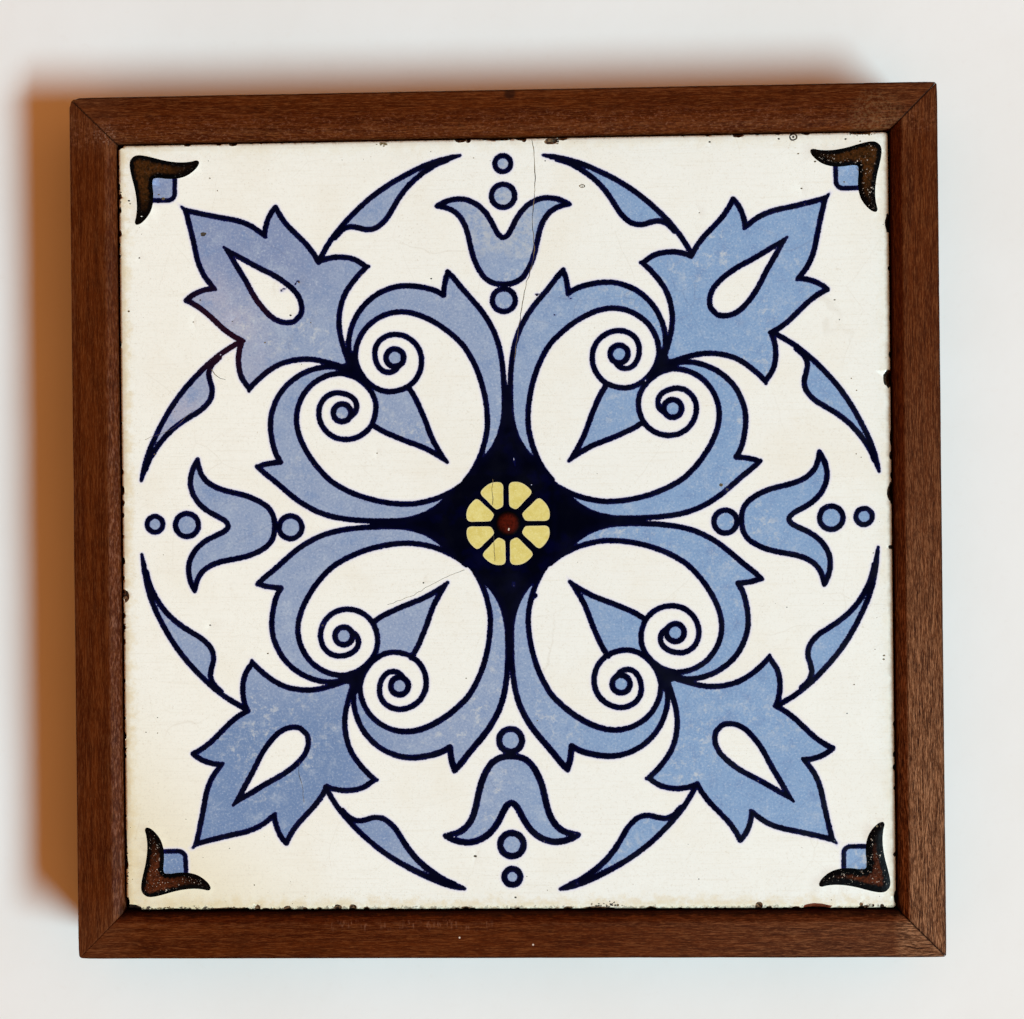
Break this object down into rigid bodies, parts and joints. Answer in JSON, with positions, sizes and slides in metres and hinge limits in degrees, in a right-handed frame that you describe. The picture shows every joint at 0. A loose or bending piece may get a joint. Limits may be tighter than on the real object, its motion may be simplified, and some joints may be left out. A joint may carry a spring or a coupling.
{
  "type": "art nouveau tile",
  "caption": "Square glazed ceramic wall tile with flat ornament, bedded on a board in a mitred wooden tray frame.",
  "frame": {"origin": "centre of the frame's back plane, which the object lies on", "axes": "+Z out of the glazed face, +X to the right and +Y to the top of the picture as seen from the front"},
  "size_m": [0.227, 0.227, 0.0161],
  "materials": {
    "glazed_tile": "gloss",
    "frame_wood": "satin",
    "board_wood": "matte"
  },
  "bodies": {
    "root": {"tile": "glazed_tile", "frame_rail_top": "frame_wood", "frame_rail_left": "frame_wood", "frame_rail_bottom": "frame_wood", "frame_rail_right": "frame_wood", "backing_board": "board_wood"}
  },
  "joints": []
}
